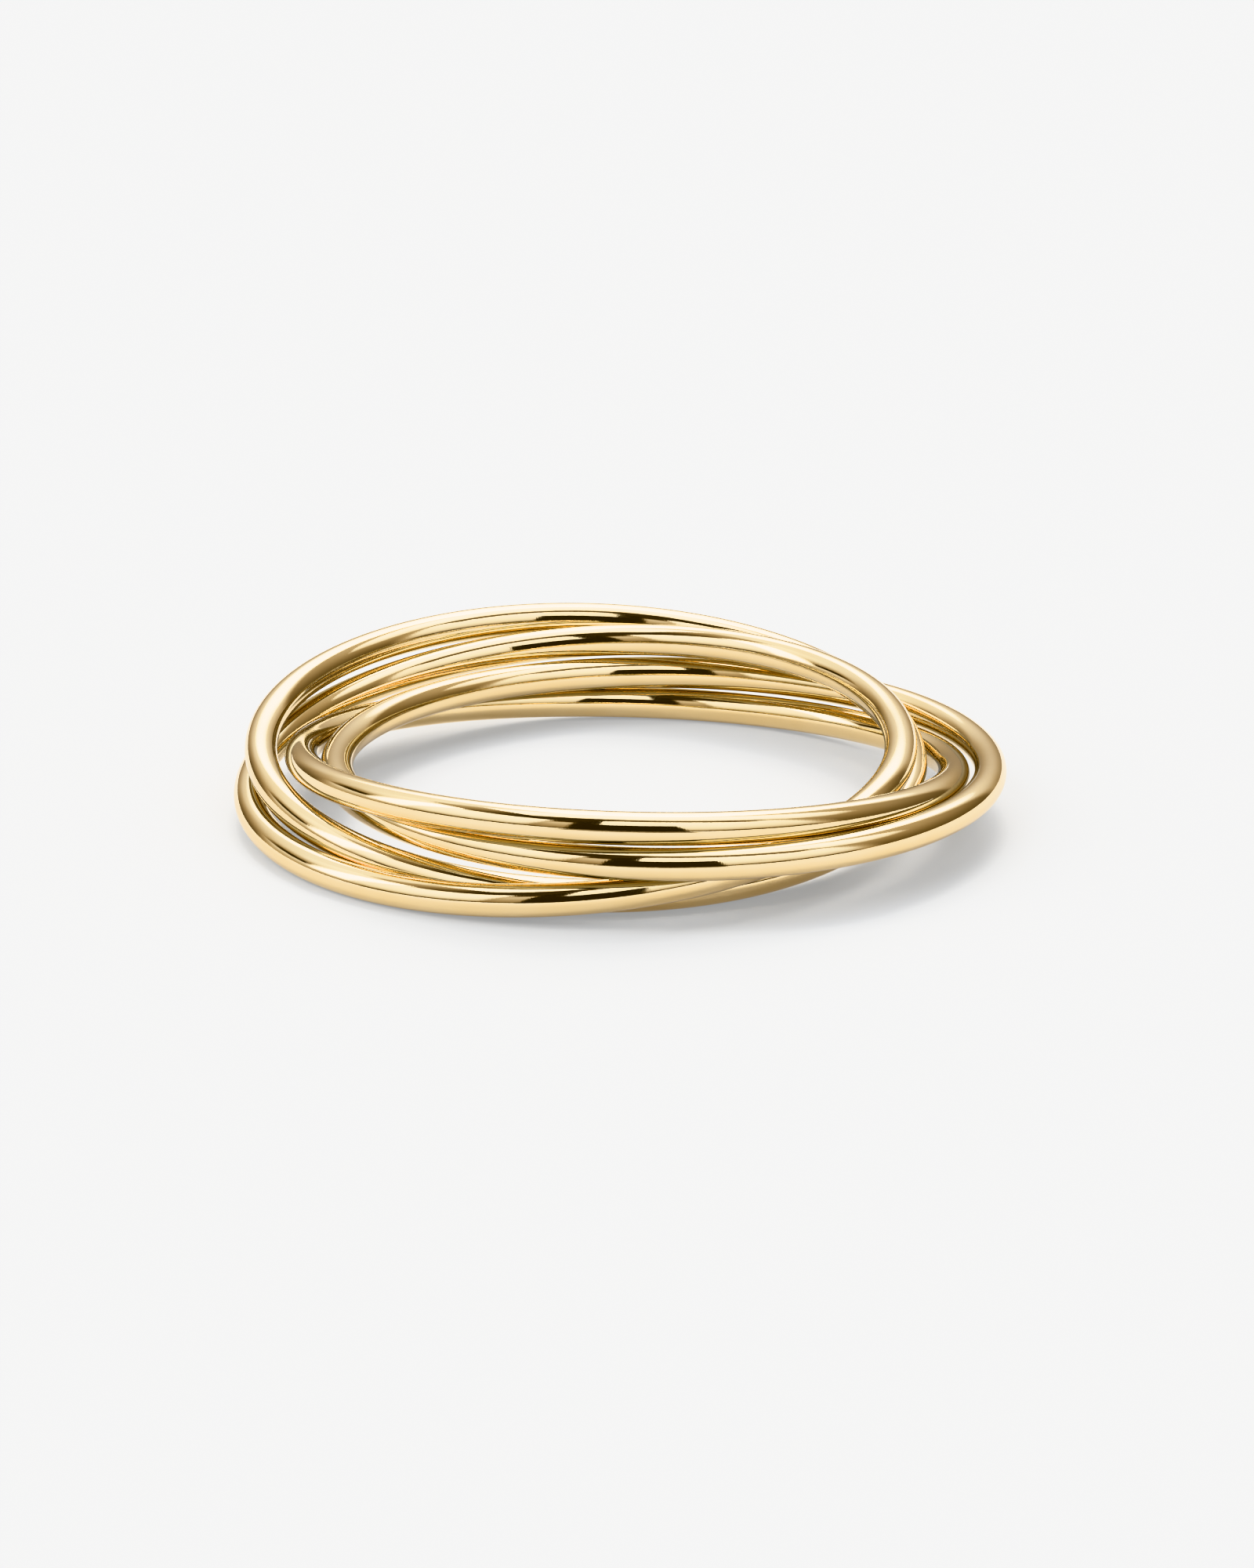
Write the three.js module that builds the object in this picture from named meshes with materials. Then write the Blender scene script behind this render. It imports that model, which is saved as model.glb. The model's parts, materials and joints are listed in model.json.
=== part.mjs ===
// An interlocking rolling ring: four plain bands of round gold-plated wire, each linked once
// through every other one. The bands lie fanned out as they fall on a flat surface.
// Millimetres, +Z up, +X along the pile's longest way. The origin is in the middle of the pile,
// on the surface that it lies on.
import * as THREE from 'three';

// Driving dimensions
const FINGER_DIAMETER = 17.3; // inside of every band, a US size 7
const WIRE_DIAMETER = 0.91;
const FLATS_ALONG_BAND = 72;
const FLATS_ROUND_WIRE = 16;

const WIRE_RADIUS = WIRE_DIAMETER / 2;
const BAND_RADIUS = FINGER_DIAMETER / 2 + WIRE_RADIUS; // to the middle of the wire

// How each band lies. x and y are its centre, and lift is the height of its lowest point.
// lean raises its back (+Y) and roll raises its left (-X), in degrees.
const BANDS = [
  { name: 'band_back', x: -0.94, y: 0.58, lift: 0, lean: 7.1, roll: 1.6 },
  { name: 'band_left', x: -1.24, y: -0.33, lift: 0, lean: 4.9, roll: -4.5 },
  { name: 'band_right', x: 1.22, y: -0.51, lift: 0.94, lean: -1.1, roll: 0.4 },
  { name: 'band_front', x: 0.22, y: -0.36, lift: 0, lean: -7.0, roll: 1.6 },
];

function polishedGold() {
  return new THREE.MeshStandardMaterial({ color: 0xe0b15e, roughness: 0.12, metalness: 1 });
}

// A band is a closed torus of wire, turned about its own centre and set down at its height.
function makeBand({ name, x, y, lift, lean, roll }) {
  const wire = new THREE.TorusGeometry(BAND_RADIUS, WIRE_RADIUS, FLATS_ROUND_WIRE, FLATS_ALONG_BAND);
  const band = new THREE.Mesh(wire, polishedGold());
  band.name = name;
  band.rotation.set(THREE.MathUtils.degToRad(lean), THREE.MathUtils.degToRad(roll), 0, 'YXZ');
  const lowest = new THREE.Box3().setFromObject(band, true).min.z;
  band.position.set(x, y, lift - lowest);
  return band;
}

const ring = new THREE.Group();
for (const band of BANDS) {
  ring.add(makeBand(band));
}

// The whole pile is moved so that its box stands with the middle of its base on the origin.
const box = new THREE.Box3().setFromObject(ring, true);
const middle = box.getCenter(new THREE.Vector3());
ring.position.set(-middle.x, -middle.y, -box.min.z);

export default ring;
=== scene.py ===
"""An interlocking rolling ring: four plain bands of polished gold wire, lying fanned out.

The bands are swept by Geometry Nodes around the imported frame's own circles, and ride on its bodies.
"""

import json
import math

import bpy
import numpy as np
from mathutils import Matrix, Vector


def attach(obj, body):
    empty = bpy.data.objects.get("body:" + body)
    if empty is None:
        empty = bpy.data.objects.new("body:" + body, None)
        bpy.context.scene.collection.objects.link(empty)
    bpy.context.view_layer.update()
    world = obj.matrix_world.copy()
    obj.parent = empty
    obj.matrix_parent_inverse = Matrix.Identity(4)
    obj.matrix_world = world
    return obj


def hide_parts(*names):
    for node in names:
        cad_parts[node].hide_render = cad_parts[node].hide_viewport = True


bl_info = {
    "name": "Rolling Ring",
    "version": (1, 0, 0),
    "blender": (4, 5, 0),
    "location": "View3D > Sidebar > Rolling Ring",
    "description": "A rolling ring of four polished gold wire bands, and a plain studio for it",
    "category": "Object",
}

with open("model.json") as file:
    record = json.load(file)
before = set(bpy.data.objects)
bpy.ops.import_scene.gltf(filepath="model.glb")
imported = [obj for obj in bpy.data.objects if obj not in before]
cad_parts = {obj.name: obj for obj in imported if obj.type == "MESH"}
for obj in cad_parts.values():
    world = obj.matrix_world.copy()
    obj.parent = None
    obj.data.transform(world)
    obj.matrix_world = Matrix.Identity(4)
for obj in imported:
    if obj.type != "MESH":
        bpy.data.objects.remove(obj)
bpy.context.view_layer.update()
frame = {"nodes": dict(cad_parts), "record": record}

MILLIMETRE = 0.001

SEED_STEP = 7.0  # from one band's polishing waves to the next band's

# Attributes that say where a point is on its wire.
ACROSS = "wire_across"
ALONG = "wire_along"

# The studio round the ring, as the polished wire mirrors it. Angles are in degrees: across is
# counted from the camera's side (-Y), positive to the right (+X), and height is above the floor.
# Each panel lies over the ones before it, and its glow runs from its low to its high edge.
STUDIO_PANELS = (
    # name, across, half width, soft sides, low, high, soft ends, glow below, glow above
    ("left card", -80, 48, 5, 4, 49, 7, 0.6, 3.6),
    ("dim end of the left card", -23, 10, 12, 4, 42, 8, 0.4, 0.8),
    ("dim side over the left card", -115, 14, 6, 22, 52, 5, 0.4, 2.2),
    ("dark rail over the left card", -114, 13, 5, 16, 24, 3, 0.04, 0.04),
    ("white bar", -90, 8, 5, 15, 50, 9, 14.0, 22.0),
    ("right card", 43, 25, 8, 2, 76, 5, 0.6, 4.8),
    ("card over the camera", 5, 16, 3, 38, 76, 2, 2.0, 4.0),
    ("open side, right", 106, 34, 12, -4, 80, 12, 0.15, 0.8),
    ("open side, back left", -145, 22, 16, -4, 60, 14, 0.12, 1.5),
    ("wall behind", 176, 36, 16, -3, 40, 14, 0.35, 1.2),
    ("softbox behind", 174, 26, 10, 30, 72, 10, 15.0, 22.0),
    ("table edge", -4, 72, 12, -5, 7, 3, 0.12, 0.12),
    ("camera", 0, 20, 1.5, -5, 38, 1.5, 0.03, 0.03),
    ("camera stand", -14.5, 5.5, 1.5, 37, 66, 2, 0.03, 0.03),
)

# Two broad lamps that light the floor alone, laid over the studio at a part of its brightness.
FLOOR_LAMPS = (
    ("lamp at the front left", -62, 42, 30, 8, 62, 12, 4.5, 5.5),
    ("lamp behind", 165, 45, 30, 20, 62, 12, 5.0, 6.5),
)
STUDIO_ON_FLOOR = 0.5

# The unlit room: dark in front on the left, and paler round to the back.
ROOM_DARKEST = -30.0
ROOM_SPREAD = (20.0, 110.0)
ROOM_GLOW = (0.05, 0.7)

# The square softbox over the ring, and the dark gap between its front edge and the cards. Each soft
# edge is given as where it starts and ends, in how far a direction runs right (+X) or back (+Y) for
# each unit that it climbs. The lowest edge is given in the sine of the direction's height. A _PLACE
# is where the value named after it changes from its first number to its second.
GAP_LEFT = (-0.5, -0.4)
GAP_RIGHT = (0.7, 0.9)
GAP_FRONT = (-0.54, -0.47)
GAP_BACK = (-0.1, 0.0)
GAP_LOWEST = (0.4, 0.6)
GAP_FORWARD_PLACE = (-0.3, 0.0)
GAP_FORWARD = (0.2, 0.0)  # how far its front edge comes towards the camera, from left to right
GAP_GLOW_PLACE = (-0.12, 0.05)
GAP_GLOW = (0.05, 0.22)
SOFTBOX_LEFT = (-0.4, -0.35)
SOFTBOX_FRONT = (-0.26, -0.08)
SOFTBOX_BACK = (0.3, 0.38)
SOFTBOX_LOWEST = (0.55, 0.75)
SOFTBOX_GLOW_PLACE = (-0.2, 0.1)
SOFTBOX_GLOW = (3.0, 7.0)  # from front to back
SOFTBOX_FADE_PLACE = (0.3, 1.2)
SOFTBOX_FADE = (1.0, 0.25)  # times the glow, from left to right

# The colour of each brightness of light in the studio.
LIGHT_COLOURS = (
    (0.0, (1.0, 0.76, 0.52)),
    (0.5, (1.0, 0.83, 0.62)),
    (0.8, (1.0, 0.95, 0.90)),
    (1.2, (0.97, 1.0, 1.05)),
    (5.0, (0.96, 1.0, 1.07)),
    (12.0, (1.02, 1.0, 0.96)),
)
BRIGHTEST = 20.0  # where the scale that those colours are laid out on ends
BACKDROP_GLOW = 1.22

# What is left of light that has gone from one band to another, and the mirror bounces between which
# the light comes down to it.
AFTER_BANDS = (0.46, 0.5, 0.56)
AFTER_BANDS_BOUNCES = (1.2, 1.8)

# The floor's tint to the camera, and the colour of the even light on it.
SEEN_TINT = (0.615, 0.6, 0.585)
LIFT_COLOUR = (0.94, 1.0, 1.05)

# The floor as the wire mirrors it: painted warm shade close to the wire for the pile's shadow and
# the gold's warm bounce, a painted dark patch under the camera for the camera's dark reflection,
# and a little warm light of its own. The dark patch starts between the two distances below from
# the middle of the pile, and reaches the degrees below to each side of the camera.
PILE_RADIUS = 9.0 * MILLIMETRE
# How far the painted warm shade near the wire reaches, and how much it darkens and warms the floor.
PAINTED_SHADE_REACH = (2.5 * MILLIMETRE, 7.0 * MILLIMETRE)  # to each side of the pile's radius
PAINTED_SHADE_TINT = (0.9, 0.86, 0.80)
# Where the painted dark reflection of the camera lies on the floor, and its colour.
PAINTED_REFLECTION_DISTANCE = (26.0 * MILLIMETRE, 29.0 * MILLIMETRE)
PAINTED_REFLECTION_ACROSS = (19.0, 21.0)
PAINTED_REFLECTION_COLOUR = (0.01, 0.01, 0.01)
MIRRORED_COLOUR = (1.0, 0.88, 0.76)
MIRRORED_GLOW = 0.27


def opaque(colour, tint=(1.0, 1.0, 1.0)):
    """A colour times a tint, as a node socket takes it."""
    return (*(part * share for part, share in zip(colour, tint)), 1.0)


def read_circle(node):
    """Centre, axis, middle radius and wire radius of a band, from its frame node."""
    points = np.array([v.co for v in node.data.vertices], float).reshape(-1, 3)
    centre = points.mean(axis=0)
    offsets = points - centre
    axis = np.linalg.svd(offsets, full_matrices=False)[2][2]
    if axis[2] < 0:
        axis = -axis
    height = offsets @ axis
    radial = np.linalg.norm(offsets - np.outer(height, axis), axis=1)
    outer, inner = radial.max(), radial.min()
    return Vector(centre), Vector(axis), (outer + inner) / 2, (outer - inner) / 2


# ---------------------------------------------------------------------------------------------
# Settings


class RollingRingBands(bpy.types.PropertyGroup):
    """How finely the four wire bands are made."""

    steps_along: bpy.props.IntProperty(
        name="Steps Along Band",
        description="How many steps the wire is swept in, round one band",
        default=420,
        min=48,
    )
    steps_round: bpy.props.IntProperty(
        name="Steps Round Wire",
        description="How many sides the wire's cross-section has",
        default=44,
        min=12,
    )
    wave_depth: bpy.props.FloatProperty(
        name="Polishing Wave",
        description="How far hand polishing leaves the wire off true",
        default=0.003 * MILLIMETRE,
        min=0.0,
        unit="LENGTH",
        precision=7,
    )
    wave_length: bpy.props.FloatProperty(
        name="Wave Length",
        description="Distance between two of those waves",
        default=2.6 * MILLIMETRE,
        min=0.0001,
        unit="LENGTH",
        precision=5,
    )


class RollingRingGold(bpy.types.PropertyGroup):
    """The polished gold finish."""

    colour: bpy.props.FloatVectorProperty(
        name="Gold Colour",
        description="What the gold reflects straight on",
        subtype="COLOR",
        size=3,
        min=0.0,
        max=1.0,
        default=(0.93, 0.745, 0.435),
    )
    worn_colour: bpy.props.FloatVectorProperty(
        name="Deeper Gold Colour",
        description="The slightly deeper gold in thin cloudy patches",
        subtype="COLOR",
        size=3,
        min=0.0,
        max=1.0,
        default=(0.905, 0.705, 0.385),
    )
    roughness: bpy.props.FloatProperty(
        name="Polish",
        description="Roughness of the polished wire",
        subtype="FACTOR",
        default=0.045,
        min=0.0,
        max=1.0,
    )
    streak_depth: bpy.props.FloatProperty(
        name="Polishing Line Depth",
        description="Depth of the fine lines that polishing leaves along the wire",
        default=0.0004 * MILLIMETRE,
        min=0.0,
        unit="LENGTH",
        precision=8,
    )
    grain_depth: bpy.props.FloatProperty(
        name="Grain Depth",
        description="Depth of the plating's faint grain",
        default=0.0005 * MILLIMETRE,
        min=0.0,
        unit="LENGTH",
        precision=8,
    )


class RollingRingStage(bpy.types.PropertyGroup):
    """The floor, the light and the camera."""

    floor_reach: bpy.props.FloatProperty(
        name="Floor Reach",
        description="Distance from the ring to each edge of the floor",
        default=1.0,
        unit="LENGTH",
    )
    floor_colour: bpy.props.FloatVectorProperty(
        name="Floor Colour",
        description="How much light the floor gives back",
        subtype="COLOR",
        size=3,
        min=0.0,
        max=1.0,
        default=(0.4, 0.4, 0.4),
    )
    floor_lift: bpy.props.FloatProperty(
        name="Floor Lift",
        description="Even light that the camera sees in the floor on top of the studio's",
        default=0.32,
        min=0.0,
    )
    camera_height: bpy.props.FloatProperty(
        name="Camera Height",
        description="Angle of the camera above the floor",
        subtype="ANGLE",
        default=math.radians(18.36),
    )
    camera_distance: bpy.props.FloatProperty(
        name="Camera Distance",
        description="Distance from the camera to the point that it looks at",
        default=200.71 * MILLIMETRE,
        unit="LENGTH",
    )
    camera_aim: bpy.props.FloatVectorProperty(
        name="Camera Aim",
        description="The point that the camera looks at, from the middle of the pile's base",
        subtype="TRANSLATION",
        size=3,
        default=(0.2 * MILLIMETRE, 2.5 * MILLIMETRE, 0.0),
    )
    lens: bpy.props.FloatProperty(
        name="Lens",
        description="Focal length of the camera, in millimetres",
        default=162.45,
        min=1.0,
    )


# ---------------------------------------------------------------------------------------------
# Node building


class NodeMaker:
    """Adds nodes to one tree, and links or sets what each is given."""

    def __init__(self, tree):
        self.tree = tree

    def give(self, socket, value):
        if isinstance(value, bpy.types.NodeSocket):
            self.tree.links.new(value, socket)
        elif value is not None:
            socket.default_value = value

    def add(self, kind, settings=None, **inputs):
        """A node of a kind. Inputs are given by name, with _ for a space."""
        node = self.tree.nodes.new(kind)
        for key, value in (settings or {}).items():
            setattr(node, key, value)
        for key, value in inputs.items():
            self.give(node.inputs[key.replace("_", " ")], value)
        return node

    def math(self, operation, *values):
        node = self.tree.nodes.new("ShaderNodeMath")
        node.operation = operation
        for socket, value in zip(node.inputs, values):
            self.give(socket, value)
        return node.outputs[0]

    def vector_math(self, operation, *values):
        node = self.tree.nodes.new("ShaderNodeVectorMath")
        node.operation = operation
        for socket, value in zip(node.inputs, values):
            self.give(socket, value)
        return node.outputs["Vector"]

    def ramp(self, value, start, end, low=0.0, high=1.0):
        """value taken smoothly from start..end to low..high, and held beyond them."""
        node = self.add(
            "ShaderNodeMapRange",
            {"interpolation_type": "SMOOTHSTEP", "clamp": True},
            Value=value,
            From_Min=start,
            From_Max=end,
            To_Min=low,
            To_Max=high,
        )
        return node.outputs["Result"]

    def between(self, low, high, share):
        """low where share is 0, and high where it is 1."""
        gap = self.math("SUBTRACT", high, low)
        return self.math("MULTIPLY_ADD", gap, share, low)

    def mix_colours(self, low, high, share):
        """The colour low where share is 0, and the colour high where it is 1."""
        node = self.add("ShaderNodeMix", {"data_type": "RGBA"})
        factor, first, second = node.inputs[0], node.inputs[6], node.inputs[7]
        self.give(factor, share)
        self.give(first, low)
        self.give(second, high)
        return node.outputs[2]


# ---------------------------------------------------------------------------------------------
# The bands

BAND_INPUTS = (
    ("Band Radius", "NodeSocketFloat"),
    ("Wire Radius", "NodeSocketFloat"),
    ("Steps Along", "NodeSocketInt"),
    ("Steps Round", "NodeSocketInt"),
    ("Wave Depth", "NodeSocketFloat"),
    ("Wave Frequency", "NodeSocketFloat"),
    ("Seed", "NodeSocketFloat"),
    ("Centre", "NodeSocketVector"),
    ("Turn", "NodeSocketRotation"),
    ("Gold", "NodeSocketMaterial"),
)


def build_band_tree():
    """A closed wire band: a circle swept round a circle, waved by polishing, and set in place."""
    tree = bpy.data.node_groups.new("wire_band", "GeometryNodeTree")
    tree.interface.new_socket("Geometry", in_out="OUTPUT", socket_type="NodeSocketGeometry")
    for name, kind in BAND_INPUTS:
        tree.interface.new_socket(name, in_out="INPUT", socket_type=kind)
    make = NodeMaker(tree)
    given = tree.nodes.new("NodeGroupInput").outputs
    result = tree.nodes.new("NodeGroupOutput")

    circle = make.add(
        "GeometryNodeCurvePrimitiveCircle",
        {"mode": "RADIUS"},
        Resolution=given["Steps Along"],
        Radius=given["Band Radius"],
    )
    wire = make.add(
        "GeometryNodeCurvePrimitiveCircle",
        {"mode": "RADIUS"},
        Resolution=given["Steps Round"],
        Radius=given["Wire Radius"],
    )
    swept = make.add(
        "GeometryNodeCurveToMesh",
        Curve=circle.outputs["Curve"],
        Profile_Curve=wire.outputs["Curve"],
    ).outputs["Mesh"]

    # Where each point is on the wire, kept for the finish: which way round the band it lies,
    # and where in the wire's section, both as smooth pairs that meet themselves.
    place = make.add("GeometryNodeInputPosition").outputs[0]
    flat = make.vector_math("MULTIPLY", place, (1.0, 1.0, 0.0))
    along = make.vector_math("NORMALIZE", flat)
    reach = make.add("ShaderNodeVectorMath", {"operation": "LENGTH"})
    make.give(reach.inputs[0], flat)
    outward = make.math("SUBTRACT", reach.outputs["Value"], given["Band Radius"])
    upward = make.add("ShaderNodeSeparateXYZ", Vector=place).outputs["Z"]
    section = make.add(
        "ShaderNodeCombineXYZ",
        X=make.math("DIVIDE", outward, given["Wire Radius"]),
        Y=make.math("DIVIDE", upward, given["Wire Radius"]),
    ).outputs["Vector"]
    noted = make.add(
        "GeometryNodeStoreNamedAttribute",
        {"data_type": "FLOAT_VECTOR", "domain": "POINT"},
        Geometry=swept,
        Name=ALONG,
        Value=along,
    ).outputs["Geometry"]
    noted = make.add(
        "GeometryNodeStoreNamedAttribute",
        {"data_type": "FLOAT_VECTOR", "domain": "POINT"},
        Geometry=noted,
        Name=ACROSS,
        Value=section,
    ).outputs["Geometry"]

    wave = make.add(
        "ShaderNodeTexNoise",
        {"noise_dimensions": "4D"},
        Vector=place,
        W=given["Seed"],
        Scale=given["Wave Frequency"],
        Detail=1.0,
    ).outputs[0]
    rise = make.math("MULTIPLY", make.math("SUBTRACT", wave, 0.5), 2.0)
    rise = make.math("MULTIPLY", rise, given["Wave Depth"])
    normal = make.add("GeometryNodeInputNormal").outputs[0]
    offset = make.add("ShaderNodeVectorMath", {"operation": "SCALE"})
    make.give(offset.inputs[0], normal)
    make.give(offset.inputs["Scale"], rise)
    waved = make.add(
        "GeometryNodeSetPosition",
        Geometry=noted,
        Offset=offset.outputs["Vector"],
    ).outputs["Geometry"]

    placed = make.add(
        "GeometryNodeTransform",
        Geometry=waved,
        Translation=given["Centre"],
        Rotation=given["Turn"],
    ).outputs["Geometry"]
    smooth = make.add("GeometryNodeSetShadeSmooth", Geometry=placed).outputs["Geometry"]
    real = make.add("GeometryNodeRealizeInstances", Geometry=smooth).outputs["Geometry"]
    golden = make.add(
        "GeometryNodeSetMaterial",
        Geometry=real,
        Material=given["Gold"],
    ).outputs["Geometry"]
    tree.links.new(golden, result.inputs["Geometry"])
    return tree


def socket_ids(tree):
    """The identifier of each input of a node tree, by its name."""
    return {
        item.name: item.identifier
        for item in tree.interface.items_tree
        if item.item_type == "SOCKET" and item.in_out == "INPUT"
    }


def mesh_from_tree(name, tree, values):
    """A plain mesh object of what the tree makes from these values."""
    maker = bpy.data.objects.new(name + "_maker", bpy.data.meshes.new(name + "_empty"))
    bpy.context.scene.collection.objects.link(maker)
    modifier = maker.modifiers.new("wire", "NODES")
    modifier.node_group = tree
    ids = socket_ids(tree)
    for key, value in values.items():
        modifier[ids[key]] = value
    bpy.context.view_layer.update()
    evaluated = maker.evaluated_get(bpy.context.evaluated_depsgraph_get())
    mesh = bpy.data.meshes.new_from_object(evaluated)
    mesh.name = name
    maker.modifiers.remove(modifier)
    bpy.data.objects.remove(maker)
    if not mesh.polygons:
        raise RuntimeError(f"{name}: the node tree made no faces")
    piece = bpy.data.objects.new(name, mesh)
    bpy.context.scene.collection.objects.link(piece)
    return piece


def make_polished_gold(gold):
    """Mirror-polished gold plating with fine polishing lines along the wire and a faint grain."""
    material = bpy.data.materials.new("polished_gold")
    material.use_nodes = True
    tree = material.node_tree
    make = NodeMaker(tree)
    shader = tree.nodes["Principled BSDF"]
    shader.inputs["Metallic"].default_value = 1.0

    along = make.add("ShaderNodeAttribute", {"attribute_name": ALONG}).outputs["Vector"]
    across = make.add("ShaderNodeAttribute", {"attribute_name": ACROSS}).outputs["Vector"]
    place = make.add("ShaderNodeTexCoord").outputs["Object"]

    def lines(stretch, fineness, detail):
        """Noise drawn out along the wire: stretch and fineness are its counts along and across."""
        way = make.add("ShaderNodeSeparateXYZ", Vector=along)
        section = make.add("ShaderNodeSeparateXYZ", Vector=across)
        where = make.add(
            "ShaderNodeCombineXYZ",
            X=make.math("MULTIPLY", section.outputs["X"], fineness),
            Y=make.math("MULTIPLY", section.outputs["Y"], fineness),
            Z=make.math("MULTIPLY", way.outputs["X"], stretch),
        )
        noise = make.add(
            "ShaderNodeTexNoise",
            {"noise_dimensions": "4D"},
            Vector=where.outputs["Vector"],
            W=make.math("MULTIPLY", way.outputs["Y"], stretch),
            Scale=1.0,
            Detail=detail,
            Roughness=0.6,
        )
        return noise.outputs[0]

    streaks = lines(stretch=26.0, fineness=9.0, detail=3.0)
    clouds = make.add(
        "ShaderNodeTexNoise", Vector=place, Scale=420.0, Detail=3.0, Roughness=0.55
    ).outputs[0]
    grain = make.add(
        "ShaderNodeTexNoise", Vector=place, Scale=14000.0, Detail=2.0, Roughness=0.5
    ).outputs[0]

    deeper = make.ramp(clouds, 0.35, 0.7)
    tone = make.mix_colours(opaque(gold.colour), opaque(gold.worn_colour), deeper)
    tree.links.new(tone, shader.inputs["Base Color"])

    haze = make.ramp(clouds, 0.3, 0.75, low=-0.01, high=0.02)
    rub = make.ramp(streaks, 0.35, 0.7, low=0.0, high=0.025)
    roughness = make.math("ADD", make.math("ADD", haze, rub), gold.roughness)
    tree.links.new(roughness, shader.inputs["Roughness"])

    grain_bump = make.add(
        "ShaderNodeBump", Strength=1.0, Distance=gold.grain_depth, Height=grain
    )
    line_bump = make.add(
        "ShaderNodeBump",
        Strength=1.0,
        Distance=gold.streak_depth,
        Height=streaks,
        Normal=grain_bump.outputs["Normal"],
    )
    tree.links.new(line_bump.outputs["Normal"], shader.inputs["Normal"])
    return material


class ROLLING_RING_OT_make_bands(bpy.types.Operator):
    """Makes the four wire bands on the frame's circles, in polished gold."""

    bl_idname = "rolling_ring.make_bands"
    bl_label = "Make Bands"

    def execute(self, context):
        bands = context.scene.rolling_ring_bands
        gold = make_polished_gold(context.scene.rolling_ring_gold)
        tree = build_band_tree()
        bodies = {
            name: body
            for body, names in frame["record"]["behaviour"]["bodies"].items()
            for name in names
        }
        for seed, (node_name, node) in enumerate(sorted(frame["nodes"].items())):
            centre, axis, band_radius, wire_radius = read_circle(node)
            turn = Vector((0.0, 0.0, 1.0)).rotation_difference(axis).to_euler()
            piece = mesh_from_tree(
                node_name + "_wire",
                tree,
                {
                    "Band Radius": float(band_radius),
                    "Wire Radius": float(wire_radius),
                    "Steps Along": bands.steps_along,
                    "Steps Round": bands.steps_round,
                    "Wave Depth": bands.wave_depth,
                    "Wave Frequency": 1.0 / bands.wave_length,
                    "Seed": float(seed) * SEED_STEP,
                    "Centre": centre,
                    "Turn": turn,
                    "Gold": gold,
                },
            )
            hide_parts(node_name)
            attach(piece, bodies[node_name])
        return {"FINISHED"}


# ---------------------------------------------------------------------------------------------
# The stage


def add_panel(make, brightness, across, height, panel):
    """Lays one studio panel over the brightness so far."""
    _, middle, half_width, sides, low, high, ends, glow_below, glow_above = panel
    turned = make.math("WRAP", make.math("SUBTRACT", across, middle), 180.0, -180.0)
    aside = make.math("ABSOLUTE", turned)
    wide = make.ramp(aside, half_width - sides / 2, half_width + sides / 2, 1.0, 0.0)
    above = make.ramp(height, low - ends / 2, low + ends / 2)
    below = make.ramp(height, high - ends / 2, high + ends / 2, 1.0, 0.0)
    cover = make.math("MULTIPLY", wide, make.math("MULTIPLY", above, below))
    glow = make.ramp(height, low, high, glow_below, glow_above)
    return make.between(brightness, glow, cover)


def add_overhead(make, brightness, parts):
    """The square softbox over the ring, and the dark gap between its front edge and the cards."""
    up = make.math("MAXIMUM", parts["Z"], 0.05)
    right = make.math("DIVIDE", parts["X"], up)
    back = make.math("DIVIDE", parts["Y"], up)

    def inside(*edges):
        """1 where a direction is inside all of the edges."""
        cover = edges[0]
        for edge in edges[1:]:
            cover = make.math("MULTIPLY", cover, edge)
        return cover

    forward = make.ramp(right, *GAP_FORWARD_PLACE, *GAP_FORWARD)
    gap = inside(
        make.ramp(make.math("ADD", back, forward), *GAP_FRONT),
        make.ramp(back, *GAP_BACK, 1.0, 0.0),
        make.ramp(right, *GAP_LEFT),
        make.ramp(right, *GAP_RIGHT, 1.0, 0.0),
        make.ramp(parts["Z"], *GAP_LOWEST),
    )
    shade = make.ramp(right, *GAP_GLOW_PLACE, *GAP_GLOW)
    brightness = make.between(brightness, shade, gap)

    softbox = inside(
        make.ramp(right, *SOFTBOX_LEFT),
        make.ramp(back, *SOFTBOX_FRONT),
        make.ramp(parts["Z"], *SOFTBOX_LOWEST),
        make.ramp(back, *SOFTBOX_BACK, 1.0, 0.0),
    )
    glow = make.ramp(back, *SOFTBOX_GLOW_PLACE, *SOFTBOX_GLOW)
    glow = make.math("MULTIPLY", glow, make.ramp(right, *SOFTBOX_FADE_PLACE, *SOFTBOX_FADE))
    return make.between(brightness, glow, softbox)


def after_bands(make, colour):
    """A light's colour, dimmer and less orange once it has gone from one band to another."""
    bounces = make.add("ShaderNodeLightPath").outputs["Glossy Depth"]
    bounced = make.ramp(bounces, *AFTER_BANDS_BOUNCES)
    left = make.mix_colours((1.0, 1.0, 1.0, 1.0), opaque(AFTER_BANDS), bounced)
    return make.vector_math("MULTIPLY", colour, left)


def light_colour(make, brightness):
    """The colour of light of this brightness, read from LIGHT_COLOURS."""
    ramp = make.add("ShaderNodeValToRGB", Fac=make.math("DIVIDE", brightness, BRIGHTEST))
    stops = ramp.color_ramp.elements
    for stop, (glow, colour) in enumerate(LIGHT_COLOURS):
        if stop >= len(stops):
            stops.new(glow / BRIGHTEST)
        stops[stop].position = glow / BRIGHTEST
        stops[stop].color = opaque(colour)
    return ramp.outputs["Color"]


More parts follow.
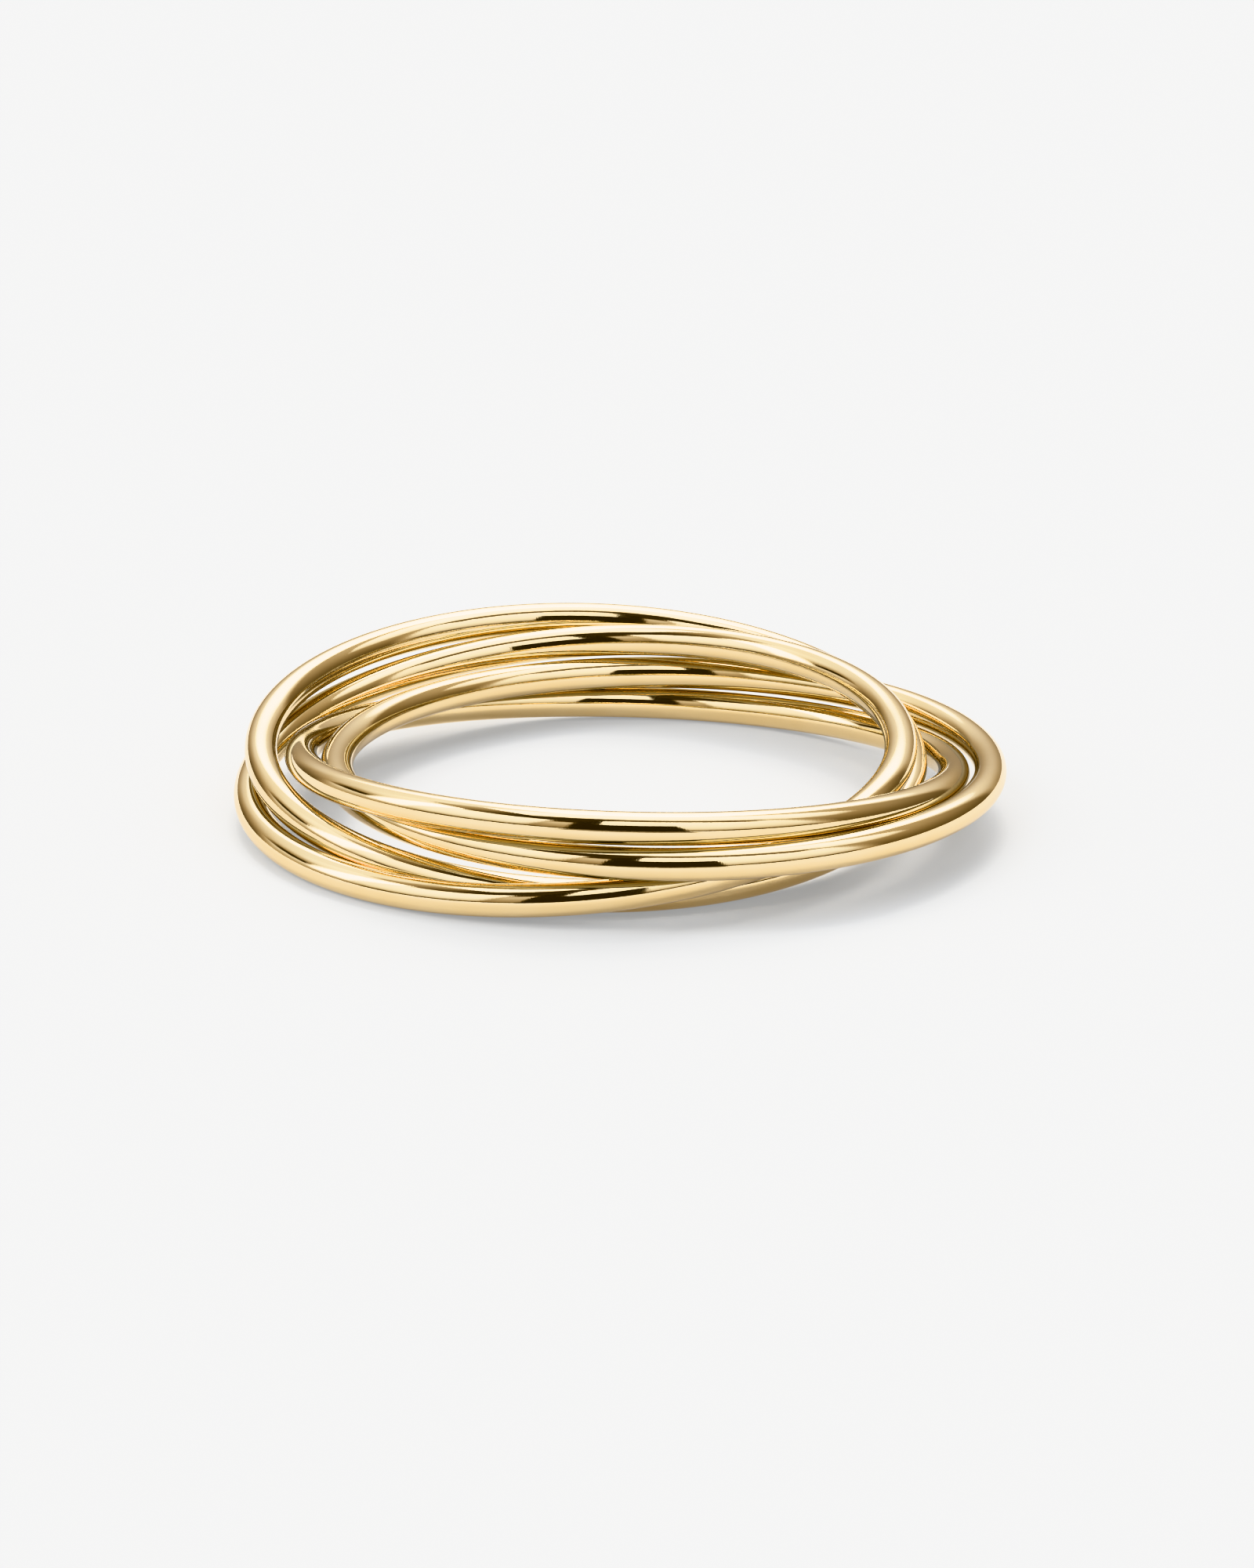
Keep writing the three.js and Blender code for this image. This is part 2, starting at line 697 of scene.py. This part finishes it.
def build_studio_world():
    """Soft panels all round the ring, and an even pale backdrop behind them for the camera."""
    world = bpy.data.worlds.new("studio")
    world.use_nodes = True
    tree = world.node_tree
    tree.nodes.clear()
    make = NodeMaker(tree)
    way = make.add("ShaderNodeTexCoord").outputs["Generated"]
    parts = make.add("ShaderNodeSeparateXYZ", Vector=way).outputs
    height = make.math("DEGREES", make.math("ARCSINE", parts["Z"]))
    toward = make.math("MULTIPLY", parts["Y"], -1.0)
    across = make.math("DEGREES", make.math("ARCTAN2", parts["X"], toward))

    aside = make.math("ABSOLUTE", make.math("SUBTRACT", across, ROOM_DARKEST))
    brightness = make.ramp(aside, *ROOM_SPREAD, *ROOM_GLOW)
    for panel in STUDIO_PANELS:
        brightness = add_panel(make, brightness, across, height, panel)
    brightness = add_overhead(make, brightness, parts)
    on_floor = make.math("MULTIPLY", brightness, STUDIO_ON_FLOOR)
    for lamp in FLOOR_LAMPS:
        on_floor = add_panel(make, on_floor, across, height, lamp)
    from_floor = make.add("ShaderNodeLightPath").outputs["Is Diffuse Ray"]
    brightness = make.between(brightness, on_floor, from_floor)
    colour = after_bands(make, light_colour(make, brightness))

    lit = make.add("ShaderNodeBackground", Color=colour, Strength=brightness)
    backdrop = make.add("ShaderNodeBackground", Strength=BACKDROP_GLOW)
    backdrop.inputs["Color"].default_value = (1.0, 1.0, 1.0, 1.0)
    seen = make.add("ShaderNodeLightPath").outputs["Is Camera Ray"]
    mixed = tree.nodes.new("ShaderNodeMixShader")
    tree.links.new(seen, mixed.inputs[0])
    tree.links.new(lit.outputs[0], mixed.inputs[1])
    tree.links.new(backdrop.outputs[0], mixed.inputs[2])
    output = tree.nodes.new("ShaderNodeOutputWorld")
    tree.links.new(mixed.outputs[0], output.inputs["Surface"])
    return world


def make_floor(stage):
    """A plain pale floor under the ring."""
    r = stage.floor_reach
    mesh = bpy.data.meshes.new("floor")
    mesh.from_pydata([(-r, -r, 0), (r, -r, 0), (r, r, 0), (-r, r, 0)], [], [(0, 1, 2, 3)])
    floor = bpy.data.objects.new("floor", mesh)
    bpy.context.scene.collection.objects.link(floor)
    mesh.materials.append(make_floor_finish(stage))


def make_floor_finish(stage):
    """Matt and pale to the camera, with a mirrored look of its own for the wire: painted warm shade
    near the pile, a painted dark reflection of the camera, and a little glow.
    """
    material = bpy.data.materials.new("pale_floor")
    material.use_nodes = True
    tree = material.node_tree
    tree.nodes.clear()
    make = NodeMaker(tree)
    place = make.add("ShaderNodeTexCoord").outputs["Object"]
    parts = make.add("ShaderNodeSeparateXYZ", Vector=place).outputs
    reach = make.add("ShaderNodeVectorMath", {"operation": "LENGTH"})
    make.give(reach.inputs[0], place)
    reach = reach.outputs["Value"]
    toward = make.math("MULTIPLY", parts["Y"], -1.0)
    across = make.math("ABSOLUTE", make.math("DEGREES", make.math("ARCTAN2", parts["X"], toward)))

    # Painted warm shade on the floor close to the wire, for the pile's shadow and the gold's warm
    # bounce, as the wire mirrors it.
    from_wire = make.math("ABSOLUTE", make.math("SUBTRACT", reach, PILE_RADIUS))
    clear = make.ramp(from_wire, *PAINTED_SHADE_REACH)
    warm_painted_shade = opaque(stage.floor_colour, PAINTED_SHADE_TINT)
    colour = make.mix_colours(warm_painted_shade, opaque(stage.floor_colour), clear)
    # A painted dark patch under the camera, which the wire mirrors as the camera's dark reflection.
    painted_reflection = make.math(
        "MULTIPLY",
        make.ramp(reach, *PAINTED_REFLECTION_DISTANCE),
        make.ramp(across, *PAINTED_REFLECTION_ACROSS, 1.0, 0.0),
    )
    colour = make.mix_colours(colour, opaque(PAINTED_REFLECTION_COLOUR), painted_reflection)
    matt_near = make.add("ShaderNodeBsdfDiffuse", Color=after_bands(make, colour))
    glow = make.add(
        "ShaderNodeEmission",
        Color=after_bands(make, MIRRORED_COLOUR),
        Strength=MIRRORED_GLOW,
    )
    mirrored = tree.nodes.new("ShaderNodeAddShader")
    tree.links.new(matt_near.outputs[0], mirrored.inputs[0])
    tree.links.new(glow.outputs[0], mirrored.inputs[1])

    matt = make.add("ShaderNodeBsdfDiffuse", Color=opaque(stage.floor_colour, SEEN_TINT))
    lift = make.add("ShaderNodeEmission", Color=opaque(LIFT_COLOUR), Strength=stage.floor_lift)
    seen = tree.nodes.new("ShaderNodeAddShader")
    tree.links.new(matt.outputs[0], seen.inputs[0])
    tree.links.new(lift.outputs[0], seen.inputs[1])
    mixed = tree.nodes.new("ShaderNodeMixShader")
    tree.links.new(make.add("ShaderNodeLightPath").outputs["Is Camera Ray"], mixed.inputs[0])
    tree.links.new(mirrored.outputs[0], mixed.inputs[1])
    tree.links.new(seen.outputs[0], mixed.inputs[2])
    output = tree.nodes.new("ShaderNodeOutputMaterial")
    tree.links.new(mixed.outputs[0], output.inputs["Surface"])
    return material


def make_camera(stage):
    """A camera on the -Y side, looking down at the ring."""
    camera = bpy.data.objects.new("camera", bpy.data.cameras.new("camera"))
    bpy.context.scene.collection.objects.link(camera)
    up = stage.camera_height
    back = Vector((0.0, -math.cos(up), math.sin(up)))
    camera.location = Vector(stage.camera_aim) + back * stage.camera_distance
    camera.rotation_euler = (math.pi / 2 - up, 0.0, 0.0)
    camera.data.lens = stage.lens
    camera.data.sensor_width = 36.0
    camera.data.clip_start = 0.001
    camera.data.clip_end = 10.0
    bpy.context.scene.camera = camera


class ROLLING_RING_OT_make_stage(bpy.types.Operator):
    """Makes the floor, the studio light and the camera."""

    bl_idname = "rolling_ring.make_stage"
    bl_label = "Make Stage"

    def execute(self, context):
        stage = context.scene.rolling_ring_stage
        make_floor(stage)
        make_camera(stage)
        context.scene.world = build_studio_world()
        context.scene.view_settings.view_transform = "Khronos PBR Neutral"
        return {"FINISHED"}


class ROLLING_RING_PT_panel(bpy.types.Panel):
    """Lists what makes the ring and its stage."""

    bl_label = "Rolling Ring"
    bl_idname = "ROLLING_RING_PT_panel"
    bl_space_type = "VIEW_3D"
    bl_region_type = "UI"
    bl_category = "Rolling Ring"

    def draw(self, context):
        scene = context.scene
        for settings in (scene.rolling_ring_bands, scene.rolling_ring_gold):
            for key in settings.__annotations__:
                self.layout.prop(settings, key)
        self.layout.operator(ROLLING_RING_OT_make_bands.bl_idname)
        for key in scene.rolling_ring_stage.__annotations__:
            self.layout.prop(scene.rolling_ring_stage, key)
        self.layout.operator(ROLLING_RING_OT_make_stage.bl_idname)


CLASSES = (
    RollingRingBands,
    RollingRingGold,
    RollingRingStage,
    ROLLING_RING_OT_make_bands,
    ROLLING_RING_OT_make_stage,
    ROLLING_RING_PT_panel,
)


def register():
    for cls in CLASSES:
        bpy.utils.register_class(cls)
    bpy.types.Scene.rolling_ring_bands = bpy.props.PointerProperty(type=RollingRingBands)
    bpy.types.Scene.rolling_ring_gold = bpy.props.PointerProperty(type=RollingRingGold)
    bpy.types.Scene.rolling_ring_stage = bpy.props.PointerProperty(type=RollingRingStage)


def unregister():
    del bpy.types.Scene.rolling_ring_stage
    del bpy.types.Scene.rolling_ring_gold
    del bpy.types.Scene.rolling_ring_bands
    for cls in reversed(CLASSES):
        bpy.utils.unregister_class(cls)


def main():
    register()
    bpy.ops.rolling_ring.make_bands()
    bpy.ops.rolling_ring.make_stage()


if __name__ == "__main__":
    main()
